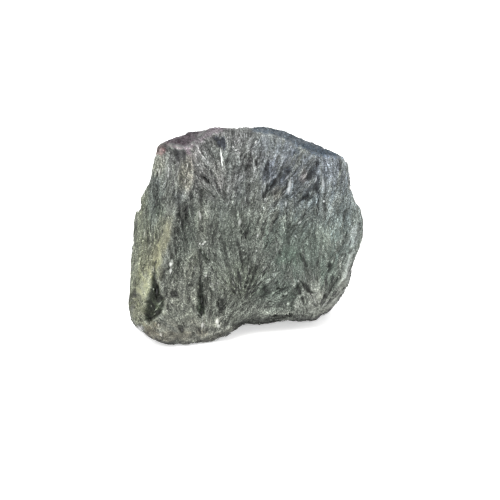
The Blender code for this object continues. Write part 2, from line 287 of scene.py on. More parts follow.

# Pearly flakes and needles painted bright as glints, and dark slivers that are painted shade in the gaps
# between fibres, on the front: middle across and up, length, width and lean, in mm and degrees, and how many
# times brighter than the skin.
FLAKES = {
    "long_needle": (-8.5, 27.2, 7, 0.46, -7, 7.4),
    "left_spot": (-27.5, 24.3, 1.3, 1.1, 20, 2.8),
    "left_streak": (-26.9, 23.5, 3, 0.6, 8, 1.8),
    "kite": (-24.1, -4, 2.9, 2.2, -3, 3.6),
    "squiggle_left": (-15, 1.9, 0.9, 0.5, 40, 3.2),
    "squiggle_right": (-13.5, 2.5, 0.9, 0.6, 100, 3.2),
    "curl_edge": (-14.5, -0.9, 1.4, 0.7, -10, 2.2),
    "curl_foot": (-13.3, -7.5, 1.3, 0.8, 20, 2),
    "slash_shard": (11, 21.9, 3.6, 0.7, 42, 1.3),
    "white_shard": (12.1, 19.8, 4.8, 1.4, 8, 1.5),
    "white_shard_foot": (11.6, 18.1, 2.6, 1.6, 10, 1.8),
    "right_shard": (21.9, 19.8, 5, 1.5, -8, 1.5),
    "right_shard_side": (19.8, 21.3, 2.2, 0.7, 22, 1.9),
    "right_spark": (22.2, 14.5, 0.9, 0.8, 0, 3.4),
    "small_needle": (10.7, 13.9, 2.6, 0.5, -5, 3),
    "top_spark": (1.5, 32.6, 1.6, 0.7, 20, 2.8),
    "top_spark_left": (-4.2, 30.2, 1.2, 0.6, 55, 2.8),
    "top_spark_dot": (-5.3, 31.2, 0.7, 0.7, 0, 2.8),
    "middle_dash": (14.8, 8.1, 2, 0.7, 55, 2.3),
    "foot_grain": (-10.2, -21.6, 2.6, 1.5, 5, 2.3),
    "foot_grain_left": (-14.5, -22.6, 2.6, 1.3, 8, 1.8),
    "lobe_sparkle": (-26.9, -25.3, 1.6, 1, -25, 1.9),
    "wedge_needle": (-27.2, -15.9, 2.2, 0.36, 42, 4.2),
    "wedge_needle_low": (-28.4, -17.9, 2, 0.36, 42, 3.8),
    "chevron_spark": (14.6, -9.5, 0.8, 0.6, 0, 2.8),
    "centre_flake": (2.1, 4.5, 1.6, 0.8, 20, 2),
    "centre_dot": (2, -0.3, 0.8, 0.7, 0, 2.6),
    "right_tick": (13.9, 4.2, 1.2, 0.7, -45, 2.2),
    "low_flake": (7.2, -7.5, 1.6, 0.8, 5, 1.7),
    "low_tick": (-11, -12.1, 1.4, 0.5, -20, 2),
    "pale_cluster": (-3.3, 8.4, 3, 1.4, 5, 1.5),
    "pale_cluster_left": (-15.1, 10.6, 3.4, 1.2, -12, 1.5),
    "olive_needle": (-18.6, 25.3, 3.2, 0.45, 8, 2.4),
    "olive_needle_low": (-19.5, 20.8, 2.6, 0.45, 10, 2.2),
    "olive_needle_left": (-21.6, 23.4, 2.2, 0.45, 12, 2.2),
    "left_needle": (-24.3, 22.6, 2.6, 0.45, 4, 2),
    "slash_edge": (18, 19.6, 3.4, 0.4, 40, 2),
    "wedge_grain": (-30, -17, 0.8, 0.4, 10, 3.2),
    "wedge_dot": (-29.1, -11.9, 0.8, 0.5, 0, 3.2),
    "wedge_needle_end": (-29, -19.3, 1.4, 0.35, 45, 2.6),
    "fan_needle_top": (-16, 31.1, 1.4, 0.35, -35, 2.6),
    "fan_needle_middle": (-14.2, 28.1, 1.8, 0.3, -35, 2),
    "fan_needle": (-12.4, 26.3, 1.5, 0.3, -36, 2),
    "fan_needle_low": (-11, 23.8, 1.5, 0.3, -34, 2.6),
    "lobe_sparkle_high": (-27.5, -22.6, 1.2, 0.7, 0, 2),
    "dark_fan_left": (-5, -12.1, 4.2, 0.35, -45, 0.15),
    "dark_fan_upright": (-2.9, -9.4, 3.6, 0.3, 0, 0.15),
    "dark_fan_middle": (0.6, -6.6, 4, 0.35, 10, 0.15),
    "dark_fan_side": (2, -5.1, 4.5, 0.35, 18, 0.15),
    "dark_fan_low": (-0.9, -12.4, 3.6, 0.35, 20, 0.15),
    "dark_fan_slant": (1.1, -13.3, 3.6, 0.35, 45, 0.15),
    "crack_line": (16, -2.3, 3.4, 0.35, -22, 0.12),
    "crack_end": (16.9, -4.5, 1.8, 0.35, -5, 0.12),
    "dark_hook": (-1.7, 4.5, 1.9, 0.8, -35, 0.12),
    "dark_arc": (-13, 21.1, 3.6, 0.5, -46, 0.12),
    "dark_left": (-28.1, 13.6, 5, 0.5, 0, 0.15),
    "dark_left_side": (-26, 13, 3.8, 0.4, 10, 0.15),
    "dark_ridge": (-19.6, 12.1, 4.6, 0.8, 0, 0.15),
    "dark_ridge_foot": (-18.7, 8.4, 3.2, 0.5, -20, 0.15),
    "dark_ridge_top": (-21, 12.4, 2.8, 0.5, 35, 0.15),
    "dark_top_fan": (-11, 28.4, 5, 0.35, -24, 0.15),
    "dark_pocket": (16.4, 15.7, 2.6, 0.5, 60, 0.15),
    "dark_foot": (-14.9, -15.4, 4.4, 0.7, 0, 0.15),
    "dark_foot_low": (-14.6, -18.7, 2.2, 0.9, 0, 0.15),
    "dark_wedge": (-28.4, -12.4, 4.8, 1, -6, 0.15),
    "dark_mottle": (4.5, -11.8, 2, 0.9, -20, 0.2),
    "dark_chevron": (14.8, -12.4, 3.4, 0.8, -20, 0.2),
    "dark_lobe": (-20.5, -24.1, 1.8, 1.2, 10, 0.2),
    "dark_lobe_top": (-22.6, -13.3, 1.6, 1, 40, 0.2),
    "kite_tail": (-24.3, -5.9, 2.6, 1.3, 4, 2.6),
    "dark_kite": (-24.2, -4.9, 1.5, 0.2, 85, 0.2),
    "foot_grain_low": (-9.6, -22.7, 1.6, 1.3, -30, 1.9),
    "squiggle_middle": (-14.3, 1.7, 1, 0.6, 75, 3.2),
    "squiggle_end": (-13.9, 2.1, 0.8, 0.5, 0, 3),
}

# Thin lines in the fans on the front, most of them dark gaps of painted shade: how many, how far from the
# root they lie in mm, and how far they turn from the middle of the fan in degrees.
RAYS = {
    "main": (70, (2, 12), 60),
    "centre": (16, (8, 20), 16),
    "right": (34, (2, 12), 40),
    "right_of_centre": (14, (4, 12), 22),
    "upper_left": (30, (4, 16), 32),
    "upper_middle": (16, (6, 20), 20),
    "upper_right": (18, (4, 16), 22),
    "left_of_centre": (16, (6, 18), 18),
    "left_of_middle": (14, (4, 18), 22),
    "left_facet": (26, (14, 52), 10),
    "lower_left": (18, (3, 12), 26),
    "far_right": (12, (10, 30), 14),
}

# Zones of colour on the front: middle across and up, half width, half length, lean, and the colour that the
# stone is multiplied by.
ZONES = {
    "cool_top": (0, 32, 42, 22, 0, (1.06, 1.05, 1.16)),
    "purple_top": (-12, 27, 16, 14, 0, (1.045, 0.99, 1.00)),
    "blue_right": (21, 19, 17, 15, 0, (0.97, 1.00, 1.1)),
    "green_middle": (17, 5, 14, 15, 0, (0.95, 1.01, 1.00)),
    "green_low": (7.5, -12.5, 9, 7, 0, (0.94, 1.01, 1.01)),
    "warm_lobe": (-18, -25.5, 6, 20, 86, (1.01, 0.96, 0.95)),
    "olive_low": (-8, -22, 30, 16, 0, (1.03, 1.03, 1.00)),
    "olive_left_low": (-33.5, -17, 6, 11, 0, (1.00, 1.00, 0.9)),
    "left_yellow": (-19.4, 22.6, 3, 6.5, 8, (1.06, 1.03, 0.88)),
    "below_yellow": (-21.2, 16.4, 2.4, 3.6, 20, (0.78, 0.8, 0.86)),
    "left_rim": (-33.6, 2, 3, 20, 6, (1.1, 1.09, 0.96)),
    "pale_left_top": (-27.8, 25.6, 2.8, 4.4, 8, (1.61, 1.54, 1.4)),
    "dark_left": (-29, 17, 3.8, 7, 0, (0.69, 0.72, 0.75)),
    "frosted_top": (8, 30, 4.5, 9, 100, (1.2, 1.22, 1.3)),
    "frosted_left": (-14, 27, 4, 7, -30, (1.32, 1.27, 1.3)),
    "pale_needles": (-9.3, 23.5, 2.2, 5.4, -5, (1.34, 1.27, 1.27)),
    "pale_top_middle": (-3, 33.6, 3.4, 2.6, 0, (1.26, 1.24, 1.26)),
    "dark_column": (-2.6, 21.5, 2.2, 7.4, 0, (0.7, 0.72, 0.73)),
    "dark_inner": (5.5, 24.1, 3.2, 4.8, 10, (0.62, 0.64, 0.71)),
    "dark_upper": (12, 20.5, 12, 6, 20, (0.84, 0.85, 0.88)),
    "dark_left_of_middle": (-11.8, 16.2, 3.2, 6, -35, (0.74, 0.76, 0.74)),
    "pale_plume_left": (-14.4, 8.4, 2.4, 6.4, 0, (1.59, 1.57, 1.52)),
    "pale_plume_middle": (-2.4, 9.8, 2, 4.6, 6, (1.22, 1.22, 1.2)),
    "pale_above_middle": (0.4, 14.4, 2.6, 4.8, 0, (1.3, 1.29, 1.27)),
    "dark_middle_left": (-8.6, 6, 6, 11, 0, (0.8, 0.82, 0.8)),
    "dark_right_of_middle": (15, 1, 13, 12, 0, (0.81, 0.86, 0.85)),
    "dark_low_middle": (-3, -9, 9, 7, 0, (0.96, 0.97, 0.91)),
    "dark_low_right": (8.5, -13.6, 9.5, 5, 0, (0.7, 0.72, 0.7)),
    "mint_smooth": (12, -2, 4, 3.6, 0, (1.00, 1.1, 1.04)),
    "pale_upper_right": (24.6, 25, 5.6, 5.2, 0, (1.4, 1.42, 1.5)),
    "pale_under_slash": (22.4, 8, 3, 8, 0, (1.62, 1.58, 1.58)),
    "pale_right": (30, 6, 6, 16, 0, (1.36, 1.43, 1.5)),
    "pale_rim": (27.6, -8, 2.8, 10, 24, (1.31, 1.31, 1.31)),
    "pale_fan": (19.5, -17, 4.4, 5, 30, (1.46, 1.45, 1.44)),
    "pale_fan_high": (21.4, -10.6, 2.2, 6, 8, (1.36, 1.36, 1.34)),
    "pale_foot": (9, -18, 2.6, 7, 88, (1.02, 1.01, 1.01)),
    "warm_brown": (8.4, 17.2, 2.2, 2.6, 30, (0.84, 0.76, 0.69)),
    "warm_brown_right": (16.2, 22.4, 1.5, 2.6, 8, (1.34, 1.16, 1.08)),
    # Painted shade in the hollow to the right of the left ridge.
    "painted_valley_shade": (-19.2, 4.6, 4.2, 12, 12, (0.79, 0.83, 0.81)),
    "brown_side": (-22.2, -14.8, 4.2, 6.4, 6, (0.7, 0.69, 0.69)),
    "dark_left_low": (-36, -16, 2.4, 5.4, 0, (0.8, 0.8, 0.77)),
    "pale_lobe": (-14.5, -23.5, 3.4, 3.2, 0, (1.3, 1.3, 1.29)),
    # Painted shade on the underside at the lower right.
    "painted_underside_shade_right": (22.8, -19.6, 2, 5, 60, (0.62, 0.6, 0.58)),
    "warm_left_low": (-23, -13, 12, 16, 0, (1.01, 1.00, 0.97)),
    "dark_left_face": (-29, 10.5, 3.4, 5, 0, (0.82, 0.84, 0.84)),
    # Painted contact shadow along the bottom edge, and on to the right.
    "painted_contact_shadow": (9, -22.2, 1.1, 11, 88, (0.36, 0.35, 0.33)),
    "painted_contact_shadow_right": (23.4, -19, 1.2, 7, 55, (0.55, 0.54, 0.52)),
    "mid_left_shade": (-14.2, -5, 5, 7, 0, (0.98, 0.99, 0.97)),
    "middle_green": (-3.5, 2, 9, 20, 0, (0.972, 1.005, 0.99)),
    "right_grey": (16.6, 10.6, 9, 6, 0, (1.03, 1.00, 1.00)),
    "left_cream": (-30.8, -1.5, 3.8, 9, 8, (1.08, 1.04, 0.93)),
    "pale_left_edge": (-32.2, 17, 2.2, 8, 12, (1.3, 1.28, 1.2)),
    "dark_under_slash": (17.6, 14.8, 3, 3, 0, (0.76, 0.79, 0.81)),
    "dark_beside_plume": (-0.2, 5.6, 2.8, 4.6, 0, (0.72, 0.74, 0.73)),
    "pale_centre_right": (3.8, 8.4, 2.6, 9, 0, (1.14, 1.14, 1.13)),
    "pale_above_column": (-3.8, 28, 2.6, 3.6, 0, (1.26, 1.26, 1.26)),
    "pale_beside_olive": (-16.2, 18.7, 2.6, 3.2, 0, (1.41, 1.42, 1.4)),
    "pale_valley": (-18.2, -4.6, 2.6, 5.4, 0, (1.24, 1.22, 1.2)),
    "dark_foot_middle": (1.4, -16.6, 6.4, 3.8, 0, (0.74, 0.74, 0.74)),
    "pale_corner": (28.6, 25.6, 1.8, 3.4, 0, (1.36, 1.36, 1.39)),
    "dark_right_low": (25.4, -6.6, 2.4, 3.6, 0, (0.84, 0.86, 0.85)),
    "left_face": (-30.4, 4, 5, 27, 8, (1.18, 1.21, 1.18)),
    "upper_green": (-9.6, 27, 7, 7, 0, (0.99, 1.06, 1.02)),
    "green_right_low": (24, -7.5, 3.6, 6.4, 0, (0.94, 1.00, 0.99)),
    "pale_beside_arc": (-14.8, 22, 2, 4.6, -10, (1.28, 1.27, 1.27)),
    "pale_under_brown": (10.9, 10, 2.4, 3.4, 0, (1.3, 1.28, 1.27)),
    "pale_right_middle": (15, -2, 3.4, 5, 0, (1.27, 1.27, 1.26)),
    "pale_low_middle": (-6.6, -12, 3, 4.2, 0, (1.24, 1.23, 1.22)),
    "dark_wedge_side": (-25.2, -14, 2.2, 5.6, 0, (0.8, 0.8, 0.8)),
    "dark_above_middle": (-2.4, 14, 4.2, 3, 0, (0.8, 0.81, 0.8)),
    # Painted contact shadow along the bottom edge at the left.
    "painted_contact_shadow_left": (-7.4, -24.6, 1, 8, 66, (0.4, 0.39, 0.37)),
    "warm_left_foot": (-33.5, -17.5, 3, 6, 0, (1.06, 1.01, 0.93)),
    "warm_lobe_corner": (-30.2, -23.5, 3.2, 3, 0, (1.02, 0.95, 0.86)),
    "warm_lobe_edge": (-23.5, -26, 1.8, 11, 84, (1.06, 1.00, 0.94)),
    "dark_lobe_corner": (-30.4, -24, 2.6, 2, 0, (0.44, 0.42, 0.4)),
    "pale_ridge_top": (-17.7, 29.3, 1.6, 3.4, 0, (1.4, 1.36, 1.36)),
    "left_green": (-27.2, 12.1, 2.4, 2.6, 0, (1.03, 1.08, 1.02)),
    "yellow_beside_wedge": (-27.8, -7.6, 1.8, 4.6, 10, (1.04, 1.01, 0.88)),
    "pale_waist": (30.8, 15.7, 1.8, 2.8, 0, (1.54, 1.53, 1.56)),
}

# Crumbly zones on the front, of grains and not of fibres: middle across and up, half width, half length,
# lean, and how much of it there is.
CRUMBLY = {
    "lobe": (-19, -24.5, 5.5, 15, 86, 1),
    "wedge_side": (-21.6, -16, 4.6, 7.4, 8, 0.9),
    "foot": (6, -18.5, 3, 10, 88, 0.9),
    "middle": (-2, 12, 11, 13, 0, 0.4),
    "upper_middle": (-4, 29, 4, 6, 90, 0.6),
}

# Calm zones on the front, where few fibres stand out: middle across and up, half width, half length, lean,
# and how calm they are.
CALM = {
    "mint": (12, -2, 4.5, 4.2, 0, 0.7),
    "right_side": (27, -2, 6.5, 16, 14, 0.55),
    "right_middle": (17, 0, 9, 13, 0, 0.55),
    "upper_left": (-13.5, 26, 4.5, 7, -35, 0.4),
    "left_side": (-31, 0, 5, 20, 8, 0.35),
    "cream_band": (-27.2, -1.2, 3.2, 17, 17, 0.7),
    "middle": (-6, 2, 12, 14, 0, 0.25),
    "lobe": (-19, -22, 5.5, 13, 86, 0.35),
}

# Splinters that stand out of the skin: name, how many, length, width and thickness in mm, tilt out of the
# surface and turn off the grain in degrees, how bright they are, and how much that varies.
SPLINTERS = [
    ("fibres_long", 9000, ((3, 6.6), (0.16, 0.34), (0.14, 0.22)), (-2, 2), 5, 1, 0.2),
    ("fibres_middle", 22000, ((1.6, 4), (0.14, 0.3), (0.1, 0.18)), (-3, 3), 7, 1, 0.2),
    ("fibres_fine", 24000, ((1.2, 3.2), (0.12, 0.26), (0.08, 0.16)), (-3, 3), 9, 1, 0.25),
    ("fibres_finest", 24000, ((0.7, 2), (0.11, 0.2), (0.08, 0.16)), (-4, 6), 12, 1, 0.33),
    ("fibres_dark", 10000, ((0.9, 3.4), (0.12, 0.26), (0.12, 0.22)), (-2, 2), 5, 0.38, 0.25),
    ("fibres_pale", 1000, ((1.6, 4.6), (0.12, 0.24), (0.16, 0.26)), (-2, 3), 8, 1.35, 0.22),
]

# Where splinters go: how much a feature's hold and the shade (as a logarithm) may change along one, and the
# least height in mm. How they lie: roll in radians, scatter in mm, limits to how brightness varies, where
# they are widest, and how far their own places in the noise reach in mm.
MOST_CROSSING = 0.75
MOST_SHADE_CHANGE = 0.4
LEAST_HEIGHT = 0.3
ROLL = 0.5
SCATTER = 0.25
BRIGHTNESS_LIMITS = (-2, 1.4)
WIDEST = (-0.5, 0.6)
OWN_PLACES = 500

# What splinters gain in turn, and lose in length and in variety, where the stone is crumbly. What they lose
# in roll and tilt on the hidden sides, and in length in dark features and where hidden skin bends. How much
# a feature's hold has to change along one for it to take the darkest tone there.
CRUMBLY_TURN = 5
CRUMBLY_SHORTER = 0.65
CRUMBLY_EVENER = 0.5
HIDDEN_LESS_ROLL = 0.6
HIDDEN_LESS_TILT = 0.7
HELD_SHORTER = 0.4
BENDING_SHORTER = 0.6
DARKENED_FROM = 0.15

# Named flakes: how far around one the skin is levelled for it, as a share of its length and at least, in mm,
# its roll in radians, how far it rises, in mm and as a share of its width, how deep it is sunk in mm, and
# where it is widest.
FLAKE_FOOTING = (0.35, 0.7)
FLAKE_ROLL = 0.25
FLAKE_RISE = (0.13, 0.2)
FLAKE_SUNK = 0.1
FLAKE_WIDEST = (-0.2, 0.3)

# Sparkles, tiny flakes painted bright as glints: how many, turn in degrees, smallest and largest size and
# lift in mm, and brightness.
SPARKLES = 800
SPARKLE_TURN = 40
SPARKLE_SMALLEST = (0.3, 0.22, 0.3)
SPARKLE_LARGEST = (0.9, 0.5, 0.4)
SPARKLE_LIFT = 0.12
SPARKLE_BRIGHTNESS = (1.4, 2.7)

# The skin: distance over which corners weld, strength and number of smoothing steps, and the least cosine
# between the normals of points that count as being on the same side.
WELD = 0.01 * MM
SMOOTHING = 0.5
SMOOTHING_STEPS = 6
SAME_SIDE = 0.3

# Fans on the hidden sides: how far their axes stray from upright, half opening in degrees, reach in mm.
HIDDEN_STRAY = 0.5
HIDDEN_OPENING = (20, 45)
HIDDEN_REACH = (18, 34)

# Which fan holds a point: what its angle off the axis costs against its distance, how much and over how many
# mm the borders wander, and what lying on the other side of the stone costs. Then how far fibres turn to
# their fan's axis.
ANGLE_COST = 0.5
BORDER_WANDER = 0.35
WANDER_SIZE = 5
OTHER_SIDE_COST = 3
AXIS_PULL = 0.25

# A leaf-shaped bundle: how blunt its ends are, the shares of its height that are level and that rise to its
# tip, and how that rise bends.
LEAF_ENDS = 0.6
LEAF_LEVEL = (0.1, 0.5)
LEAF_RISING = (0.3, 0.6)
LEAF_BEND = 0.8

# The front, as ranges of the cosine between a point's normal and the way to the eye: where soft features
# show, where outlined ones do, where dents in the outline do, and where outlines fray.
FACING = (0, 0.25)
TURNED = (-0.45, -0.15)
RIM = (-0.8, -0.4)
AWAY = (0, -0.2)

# How ragged the borders of features are, by streaks and by patches, as size in mm and seed of the patches
# and of the mottles in clefts, and how much further the borders stray where outlines fray.
RAGGED = (0.42, 0.3)
RAGGED_PATCHES = (1.3, 32)
MOTTLES = (0.8, 33)
FRAYED = 4

# Edges of oval spots: value where they begin, value where they are full, and how ragged they are, for spots
# in general, clefts and zones of colour, and how far out a point can still belong to one.
SPOT_EDGE = (-0.1, 0.7, 1)
CLEFT_EDGE = (0, 0.9, 1.4)
ZONE_EDGE = (-0.2, 1, 0.5)
FURTHEST_OUT = -1.6

# The oval of a cleft as a share of its width and length. How much crests, outlines and dents stray with the
# raggedness, over how many mm crests fade past their ends, and where a dent begins and is full.
CLEFT_OVAL = (0.6, 0.55)
CREST_STRAY = 0.8
OUTLINE_STRAY = 0.8
DENT_STRAY = 0.3
CREST_FADING = 1.5
DENT_EDGE = (-0.2, 0.8)

# Streaks along the fibres: width in mm, steps of combing, and seed.
RAGGED_STREAKS = (0.5, 4, 31)
THIN_STREAKS = (0.45, 4, 51)
WIDE_STREAKS = (1.1, 5, 52)

# The relief in mm: rise of thin streaks, range of strength over which wide ones become grooves, their depth,
# height, size and seed of crumbs, and steps of blurring that find the broad part, which goes. Then the share
# lost where the stone is crumbly, calm, or edge on to the eye, and the width of that edge as a cosine.
THIN_RISE = 0.07
GROOVED = (0.5, 1.6)
GROOVE_DEPTH = 0.3
CRUMB_HEIGHT = 0.25
CRUMBS = (0.9, 61)
LEVELLING_STEPS = 60
CRUMBLY_LOSS = 0.5
CALM_LOSS = 0.7
EDGE_LOSS = 0.5
EDGE_WIDTH = 0.16

# Where splinters are missing: how much of a dark feature's hold a cleft has, and their missing share where
# the stone is calm, edge on to the eye, and crumbly.
CLEFT_HOLD = 0.7
CALM_BARE = 0.8
EDGE_BARE = 0.85
CRUMBLY_BARE = 0.7

# Points pass out of the eye's sight over this range of the cosine between their normal and the way to it,
# and the skin is bent where the cosine between its normals along the grain is this much less than one.
HIDDEN = (0.05, -0.15)
BENT = (0, 0.12)

# The tone: how much it varies from bundle to bundle, then the painted shade in hollows and painted highlight
# on rises: steps of blurring that find the skin around, the depth in mm below it that would take all of the
# tone, and the limits to that. What the painted shade in grooves, the darker pits, and the painted shade in
# clefts and on the underside take from it, with the pits' size, seed and range of strength, and how far they
# keep to streaks. What thin streaks, crumbs and calm do to it, with size and seed of the grains, and the tone
# of it all.
FEATHER_TONE = 0.17
PLUME_TONE = 0.28
HOLLOW_SHADE_STEPS = 8
HOLLOW_SHADE_DEPTH = 0.4
HOLLOW_SHADE_RANGE = (0.4, 1.4)
GROOVE_SHADE = 0.34
PIT_SHADE = 0.5
PITS = (0.9, 71)
PITTED = (0.45, 0.8)
PITS_IN_STREAKS = 0.15
CLEFT_SHADE = 0.62
UNDERSIDE_SHADE = 0.5
UNDERSIDE = (-0.3, -0.75)
THIN_TONE = 0.12
CRUMB_TONE = 0.55
FINE_GRAINS = (0.9, 62)
COARSE_GRAINS = (1.7, 63)
CALM_TONE = 0.6
TONE = 0.95

# Rays: share of them that are dark gaps of painted shade, how bright the dark and the pale ones are, length
# and width in mm, and turn in degrees. The stone must still be seen this many mm past their middle, to within
# so many mm.
DARK_RAYS = 0.7
RAY_BRIGHTNESS = (0.22, 1.7)
RAY_LENGTH = (1.4, 4)
RAY_WIDTH = (0.2, 0.34)
RAY_TURN = 4
RAY_MARGIN = 3
RAY_NEARNESS = 0.5


def pointing(azimuth, elevation):
    """The unit vector with this azimuth, counted from +X towards +Y, and this elevation."""
    flat = cos(radians(elevation))
    return np.array((flat * cos(radians(azimuth)), flat * sin(radians(azimuth)), sin(radians(elevation))))


ACROSS = np.array((1.0, 0.0, 0.0))
UP = pointing(90, 90 - EYE_ELEVATION)
TO_EYE = pointing(-90, EYE_ELEVATION)
EYE = TARGET + TO_EYE * EYE_DISTANCE


def unit(vectors):
    """The same vectors with length one."""
    return vectors / np.maximum(np.linalg.norm(vectors, axis=-1, keepdims=True), 1e-12)


def dot(first, second):
    """Row by row scalar product."""
    return np.einsum("...i,...i->...", first, second)


def leaning(lean):
    """The direction on the eye's plane that leans this many degrees clockwise from upright."""
    return ACROSS * sin(radians(lean)) + UP * cos(radians(lean))


def seen(points):
    """Where the eye sees these points: mm across and up on the target plane."""
    offset = points - EYE
    scale = EYE_DISTANCE / -dot(offset, TO_EYE) / MM
    return dot(offset, ACROSS) * scale, dot(offset, UP) * scale


def eased(share):
    """0 to 1, with the change made gentle at both ends."""
    return share * share * (3 - 2 * share)


def smooth_step(low, high, values):
    """0 below low, 1 above high, and a smooth rise between them."""
    return eased(np.clip((values - low) / (high - low), 0, 1))


def lattice(corners, seed):
    """A random number from 0 to 1 for each whole-number corner."""
    half, low_bits = np.uint64(16), np.uint64(0xFFFFFFFF)
    keys = np.array((73856093, 19349663, 83492791), dtype=np.uint64)
    mixed = (corners.astype(np.int64).astype(np.uint64) * keys).sum(axis=1, dtype=np.uint64)
    mixed = (mixed + np.uint64(seed * 2654435761)) & low_bits
    for _ in range(2):
        mixed = ((mixed ^ (mixed >> half)) * np.uint64(0x45D9F3B)) & low_bits
    return (mixed ^ (mixed >> half)) / 4294967295.0


def noise(points, seed):
    """Smooth noise from -1 to 1 that varies over a distance of one."""
    low = np.floor(points)
    share = eased(points - low)
    total = np.zeros(len(points))
    for corner in np.ndindex(2, 2, 2):
        weight = np.prod(np.where(np.array(corner) == 1, share, 1 - share), axis=1)
        total += weight * lattice(low + corner, seed)
    return total * 2 - 1


def read_rows(items, key, width, kind):
    """This property of all items as an array, with this many numbers to a row."""
    values = np.empty(len(items) * width, dtype=kind)
    items.foreach_get(key, values)
    return values.reshape(-1, width)


class Surface:
    """The stone's skin as arrays: points, normals, edges, and the tree that finds near points."""

    def __init__(self, mesh):
        self.mesh = mesh
        self.points = read_rows(mesh.vertices, "co", 3, np.float64)
        self.edges = read_rows(mesh.edges, "vertices", 2, np.int64)
        self.read_normals()
        self.tree = KDTree(len(self.points))
        for index, point in enumerate(self.points):
            self.tree.insert(point, index)
        self.tree.balance()
        self.unmoved = self.points
        self.grain_paths = []

    def read_normals(self):
        """Reads the normals from the mesh."""
        self.normals = read_rows(self.mesh.vertices, "normal", 3, np.float64)

    def move(self, heights):
        """Moves the points along the normals, but none below the ground."""
        self.points = self.points + self.normals * heights[:, None]
        self.points[:, 2] = np.maximum(self.points[:, 2], 0)
        self.mesh.vertices.foreach_set("co", self.points.ravel())
        self.mesh.update()
        self.read_normals()

    def near(self, index, radius):
        """The points that lay this near the given one before the move, and face the same way."""
        found = np.array([item[1] for item in self.tree.find_range(self.unmoved[index], radius)])
        return found[self.normals[found] @ self.normals[index] > SAME_SIDE]

    def blurred(self, values, times):
        """The values, each drawn towards its neighbours' mean this many times."""
        first, second = self.edges.T
        degree = np.bincount(self.edges.ravel(), minlength=len(values))
        for _ in range(times):
            total = np.bincount(first, values[second], len(values))
            total += np.bincount(second, values[first], len(values))
            values = (values + total / degree) / 2
        return values

    def trace_grain(self, flow):
        """Follows the grain both ways from every point, and keeps the points that are passed."""
        self.grain_paths = [np.arange(len(self.points))]
        for way in (1, -1):
            at = self.points.copy()
            passed = np.arange(len(at))
            for _ in range(COMB_REACH):
                at += flow[passed] * way * COMB_STEP
                passed = np.array([self.tree.find(place)[1] for place in at])
                self.grain_paths.append(passed)

    def combed(self, values, reach):
        """The values, averaged along the grain this many steps each way."""
        kept = self.grain_paths[:1 + reach] + self.grain_paths[1 + COMB_REACH:1 + COMB_REACH + reach]
        return sum(values[path] for path in kept) / len(kept)

    def patches(self, size, seed):
        """Noise from -1 to 1 in patches of this size in mm."""
        return noise(self.points / (size * MM), seed)

    def streaks(self, width, reach, seed):
        """Noise in streaks along the grain, of this width in mm, with a spread of about one."""
        raw = noise(self.points / (width * MM) + seed * 7.3, seed)
        drawn = self.combed(raw, reach)
        return drawn / drawn.std()


def placed(name, data):
    """A new object of the scene with this data."""
    obj = bpy.data.objects.new(name, data)
    bpy.context.scene.collection.objects.link(obj)
    return obj


def skin_mesh(cad):
    """The CAD block's skin, rounded between its points and divided into even fine cells."""
    welded = bmesh.new()
    welded.from_mesh(cad.data)
    bmesh.ops.remove_doubles(welded, verts=welded.verts, dist=WELD)
    mesh = bpy.data.meshes.new("skin")
    welded.to_mesh(mesh)
    welded.free()
    skin = placed("skin", mesh)
    skin.modifiers.new("Rounded", "SUBSURF").levels = 1
    cells = skin.modifiers.new("Even cells", "REMESH")
    cells.mode = "VOXEL"
    cells.voxel_size = CELL
    smooth = skin.modifiers.new("Smooth", "SMOOTH")
    smooth.factor = SMOOTHING
    smooth.iterations = SMOOTHING_STEPS
    mesh = bpy.data.meshes.new_from_object(skin.evaluated_get(bpy.context.evaluated_depsgraph_get()))
    mesh.name = "skin"
    bpy.data.objects.remove(skin)
    return mesh


def tangent(directions, normals):
    """The directions laid into the surface."""
    return unit(directions - normals * dot(directions, normals)[:, None])


def turned(directions, axes, angle):
    """The directions, turned by this angle about axes that are square to them."""
    return directions * np.cos(angle) + np.cross(axes, directions) * np.sin(angle)


def fans(surface, cad, rng):
    """Root, axis, half opening and reach of every fan, on the front and on the hidden sides."""
    tree = BVHTree.FromObject(cad, bpy.context.evaluated_depsgraph_get())
    made = []
    for across, up, lean, half, reach in FRONT_FANS.values():
        aim = TARGET + (ACROSS * across + UP * up) * MM
        root = tree.ray_cast(Vector(EYE), Vector(unit(aim - EYE)))[0] or tree.find_nearest(Vector(aim))[0]
        made.append((np.array(root), leaning(lean), half, reach * MM))
    hidden = np.flatnonzero(surface.normals @ TO_EYE < 0)
    for index in rng.choice(hidden, HIDDEN_FANS):
        axis = unit(np.array((rng.normal(0, HIDDEN_STRAY), rng.normal(0, HIDDEN_STRAY), 1.0)))
        opening, reach = rng.uniform(*HIDDEN_OPENING), rng.uniform(*HIDDEN_REACH)
        made.append((surface.points[index], axis, opening, reach * MM))
    return made


def grain(surface, all_fans):
    """The direction of the fibres at every point: away from the root of the fan that holds it."""
    best = np.full(len(surface.points), 1e9)
    flow = np.zeros_like(surface.points)
    for number, (root, axis, half, reach) in enumerate(all_fans):
        away = surface.points - root
        distance = np.linalg.norm(away, axis=1)
        laid = tangent(np.broadcast_to(axis, away.shape), surface.normals)
        off_axis = np.degrees(np.arccos(np.clip(dot(unit(away), laid), -1, 1)))
        cost = distance / reach + (off_axis / half) ** 2 * ANGLE_COST
        cost += BORDER_WANDER * surface.patches(WANDER_SIZE, number)
        apart = surface.normals @ surface.normals[surface.tree.find(root)[1]] < -0.1
        if number >= len(FRONT_FANS):
            apart |= surface.normals @ TO_EYE > 0.02
        cost = np.where(apart, cost + OTHER_SIDE_COST, cost)
        better = cost < best
        best = np.where(better, cost, best)
        direction = tangent(unit(away) + laid * AXIS_PULL, surface.normals)
        flow = np.where(better[:, None], direction, flow)
    return flow


